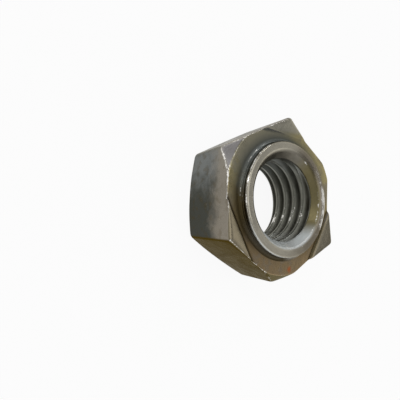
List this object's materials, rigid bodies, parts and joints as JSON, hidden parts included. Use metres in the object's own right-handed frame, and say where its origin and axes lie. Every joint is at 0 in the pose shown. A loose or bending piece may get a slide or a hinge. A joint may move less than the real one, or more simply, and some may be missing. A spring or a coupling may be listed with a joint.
{
  "type": "hex weld nut",
  "caption": "Hexagon weld nut with a pilot collar, weld projections on alternate corners, relieved plain corners and a chamfered, countersunk back face.",
  "frame": {"origin": "centre of the flat back face, on the thread axis", "axes": "+Z along the thread axis, towards the pilot collar and the weld projections; +X through a corner that carries a projection, so two flats face +Y and -Y"},
  "size_m": [0.0274, 0.024, 0.0118],
  "materials": {
    "plated_steel": "bright zinc-plated forged steel, lightly scuffed, with a faint olive and brown cast"
  },
  "bodies": {
    "root": {"weld_nut": "plated_steel"}
  },
  "joints": []
}
